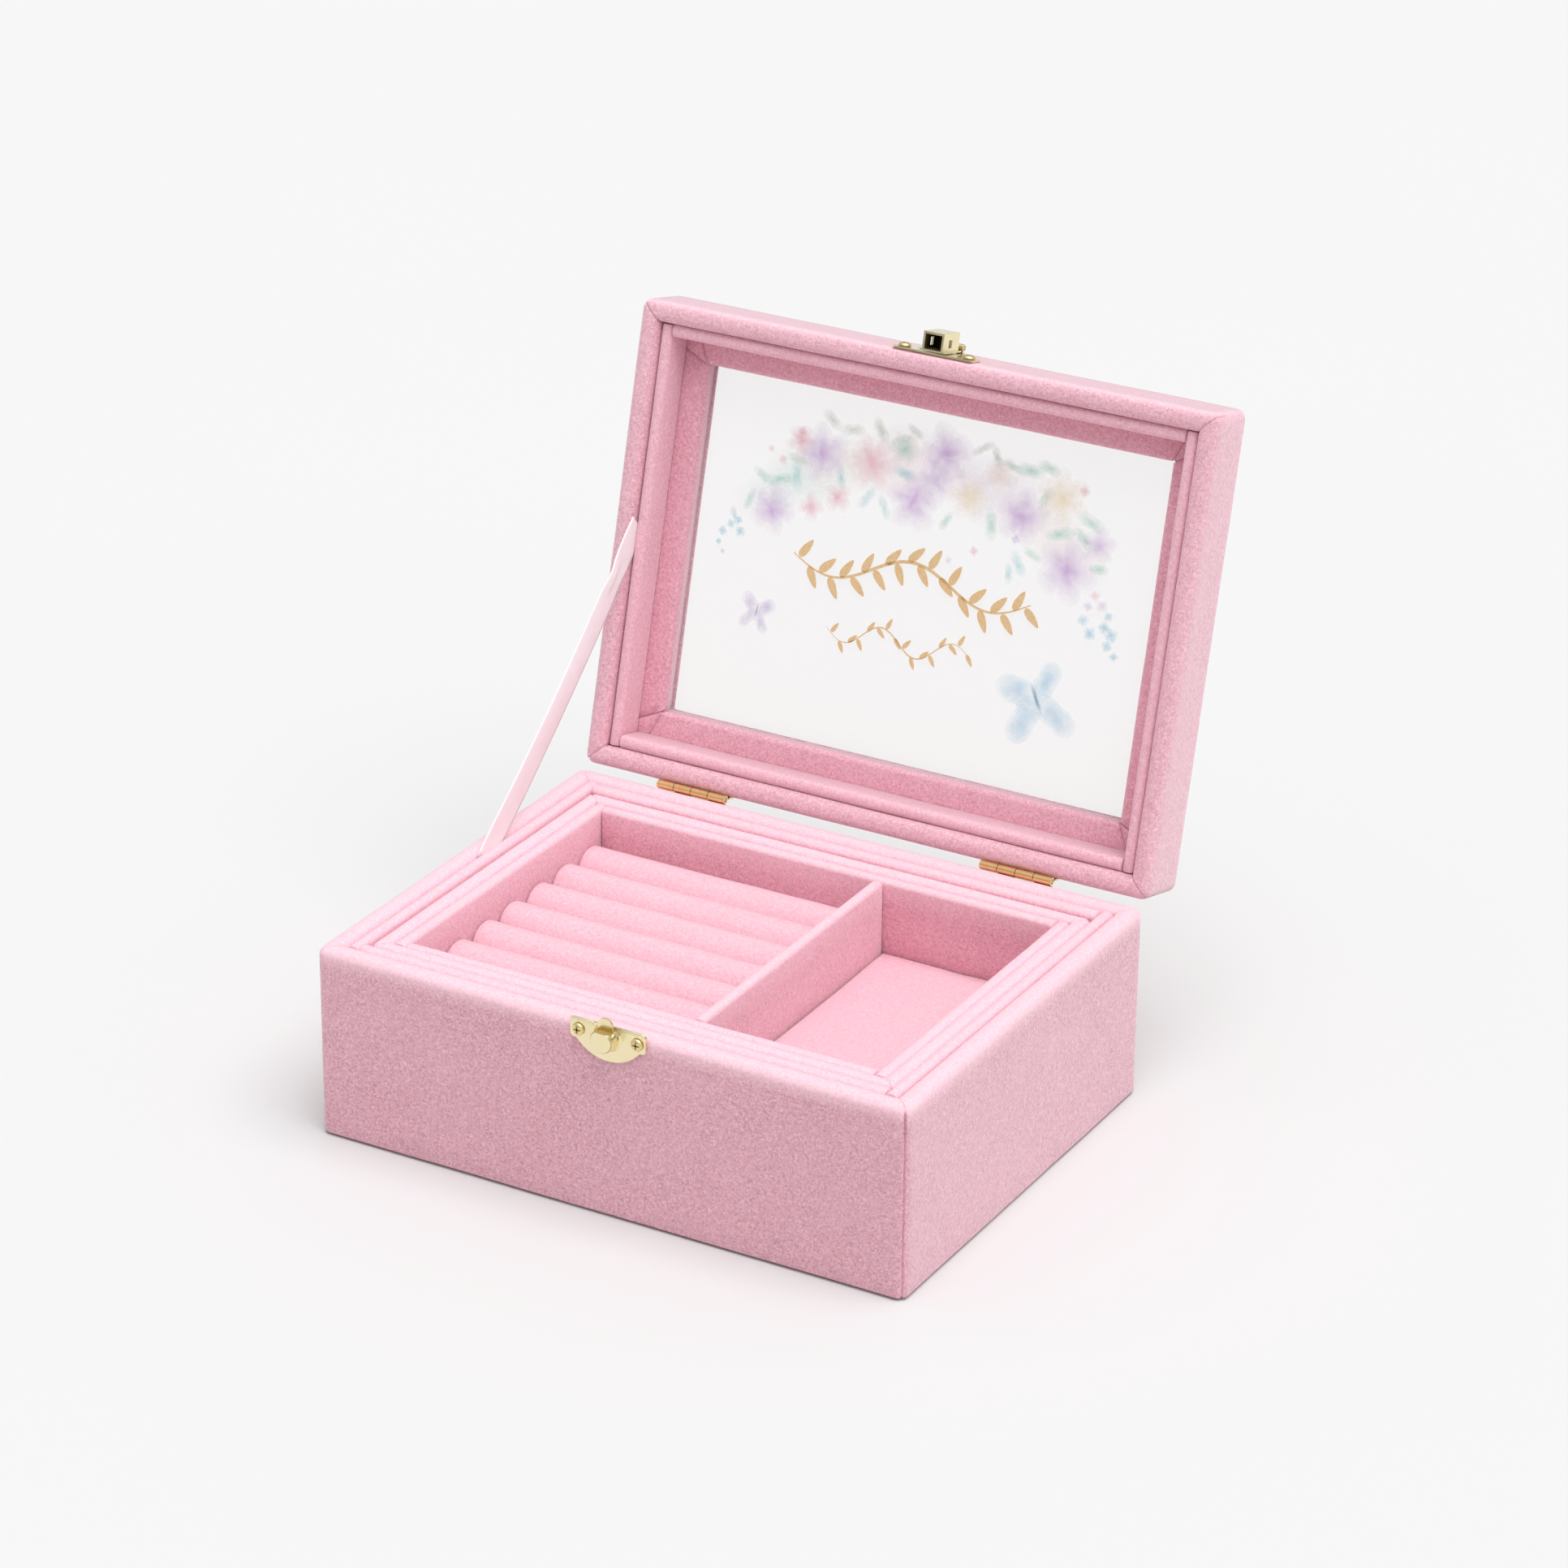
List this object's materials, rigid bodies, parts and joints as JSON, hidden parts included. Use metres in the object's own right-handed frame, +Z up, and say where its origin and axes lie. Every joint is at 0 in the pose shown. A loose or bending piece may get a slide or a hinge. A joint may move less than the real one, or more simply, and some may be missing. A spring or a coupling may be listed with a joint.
{
  "type": "jewelry box",
  "caption": "Velvet-wrapped jewelry box with a lift-out tray of ring rolls, a hinged lid with a glass window, a ribbon stay and a small brass latch.",
  "frame": {"origin": "centre of the underside, where the box stands", "axes": "+X along the front from left to right as the user faces the latch, +Y from the front to the hinges, +Z up; the lid is stored open at its stop"},
  "size_m": [0.22, 0.2354, 0.2371],
  "materials": {
    "velvet_outer": "short-pile velvet over board",
    "velvet_inner": "short-pile velvet over board or foam",
    "card": "plain grey-brown board",
    "underside_paper": "plain paper",
    "latch_brass": "pale polished brass",
    "hinge_brass": "warm polished brass",
    "satin": "woven satin ribbon",
    "pane": "clear, printed with a floral garland"
  },
  "bodies": {
    "base": {"base_front_wall": "velvet_outer", "base_back_wall": "velvet_outer", "base_left_wall": "velvet_outer", "base_right_wall": "velvet_outer", "base_underside_sheet": "underside_paper", "base_floor_board": "card", "base_liner_front": "velvet_inner", "base_liner_back": "velvet_inner", "base_liner_left": "velvet_inner", "base_liner_right": "velvet_inner", "tray_ledge_left": "velvet_inner", "tray_ledge_right": "velvet_inner", "base_floor_pad": "velvet_inner", "catch_plate": "latch_brass", "catch_screw_1": "latch_brass", "catch_screw_2": "latch_brass", "hinge_base_leaf_1": "hinge_brass", "hinge_base_leaf_2": "hinge_brass", "hinge_pin_1": "hinge_brass", "hinge_pin_2": "hinge_brass", "ribbon_stay": "satin"},
    "tray": {"tray_front_wall": "velvet_inner", "tray_back_wall": "velvet_inner", "tray_left_wall": "velvet_inner", "tray_right_wall": "velvet_inner", "tray_floor_board": "card", "tray_lining_front": "velvet_inner", "tray_lining_back": "velvet_inner", "tray_lining_left": "velvet_inner", "tray_lining_right": "velvet_inner", "tray_divider": "velvet_inner", "tray_floor_pad": "velvet_inner", "ring_roll_1": "velvet_inner", "ring_roll_2": "velvet_inner", "ring_roll_3": "velvet_inner", "ring_roll_4": "velvet_inner", "ring_roll_5": "velvet_inner", "ring_roll_6": "velvet_inner", "ring_roll_7": "velvet_inner"},
    "lid": {"lid_front_wall": "velvet_outer", "lid_back_wall": "velvet_outer", "lid_left_wall": "velvet_outer", "lid_right_wall": "velvet_outer", "lid_liner_front": "velvet_inner", "lid_liner_back": "velvet_inner", "lid_liner_left": "velvet_inner", "lid_liner_right": "velvet_inner", "lid_inner_frame": "velvet_outer", "lid_outer_frame": "velvet_outer", "window_pane": "pane", "hasp_plate": "latch_brass", "hasp_screw_1": "latch_brass", "hasp_screw_2": "latch_brass", "hasp_pin": "latch_brass", "hinge_lid_leaf_1": "hinge_brass", "hinge_lid_leaf_2": "hinge_brass"},
    "flap": {"hasp_flap": "latch_brass"}
  },
  "joints": [
    {"name": "lid_hinge", "type": "hinge", "parent": "base", "child": "lid", "pos_m": [0, 0.0833, 0.0693], "axis": [1, 0, 0], "range_deg": [0, 104.3], "deforming": ["ribbon_stay"]},
    {"name": "tray_lift", "type": "slide", "parent": "base", "child": "tray", "axis": [0, 0, 1], "range_m": [0, 0.015]},
    {"name": "flap_hinge", "type": "hinge", "parent": "lid", "child": "flap", "pos_m": [0.0026, 0.14037, 0.22843], "axis": [-1, 0, 0], "range_deg": [0, 75]}
  ]
}
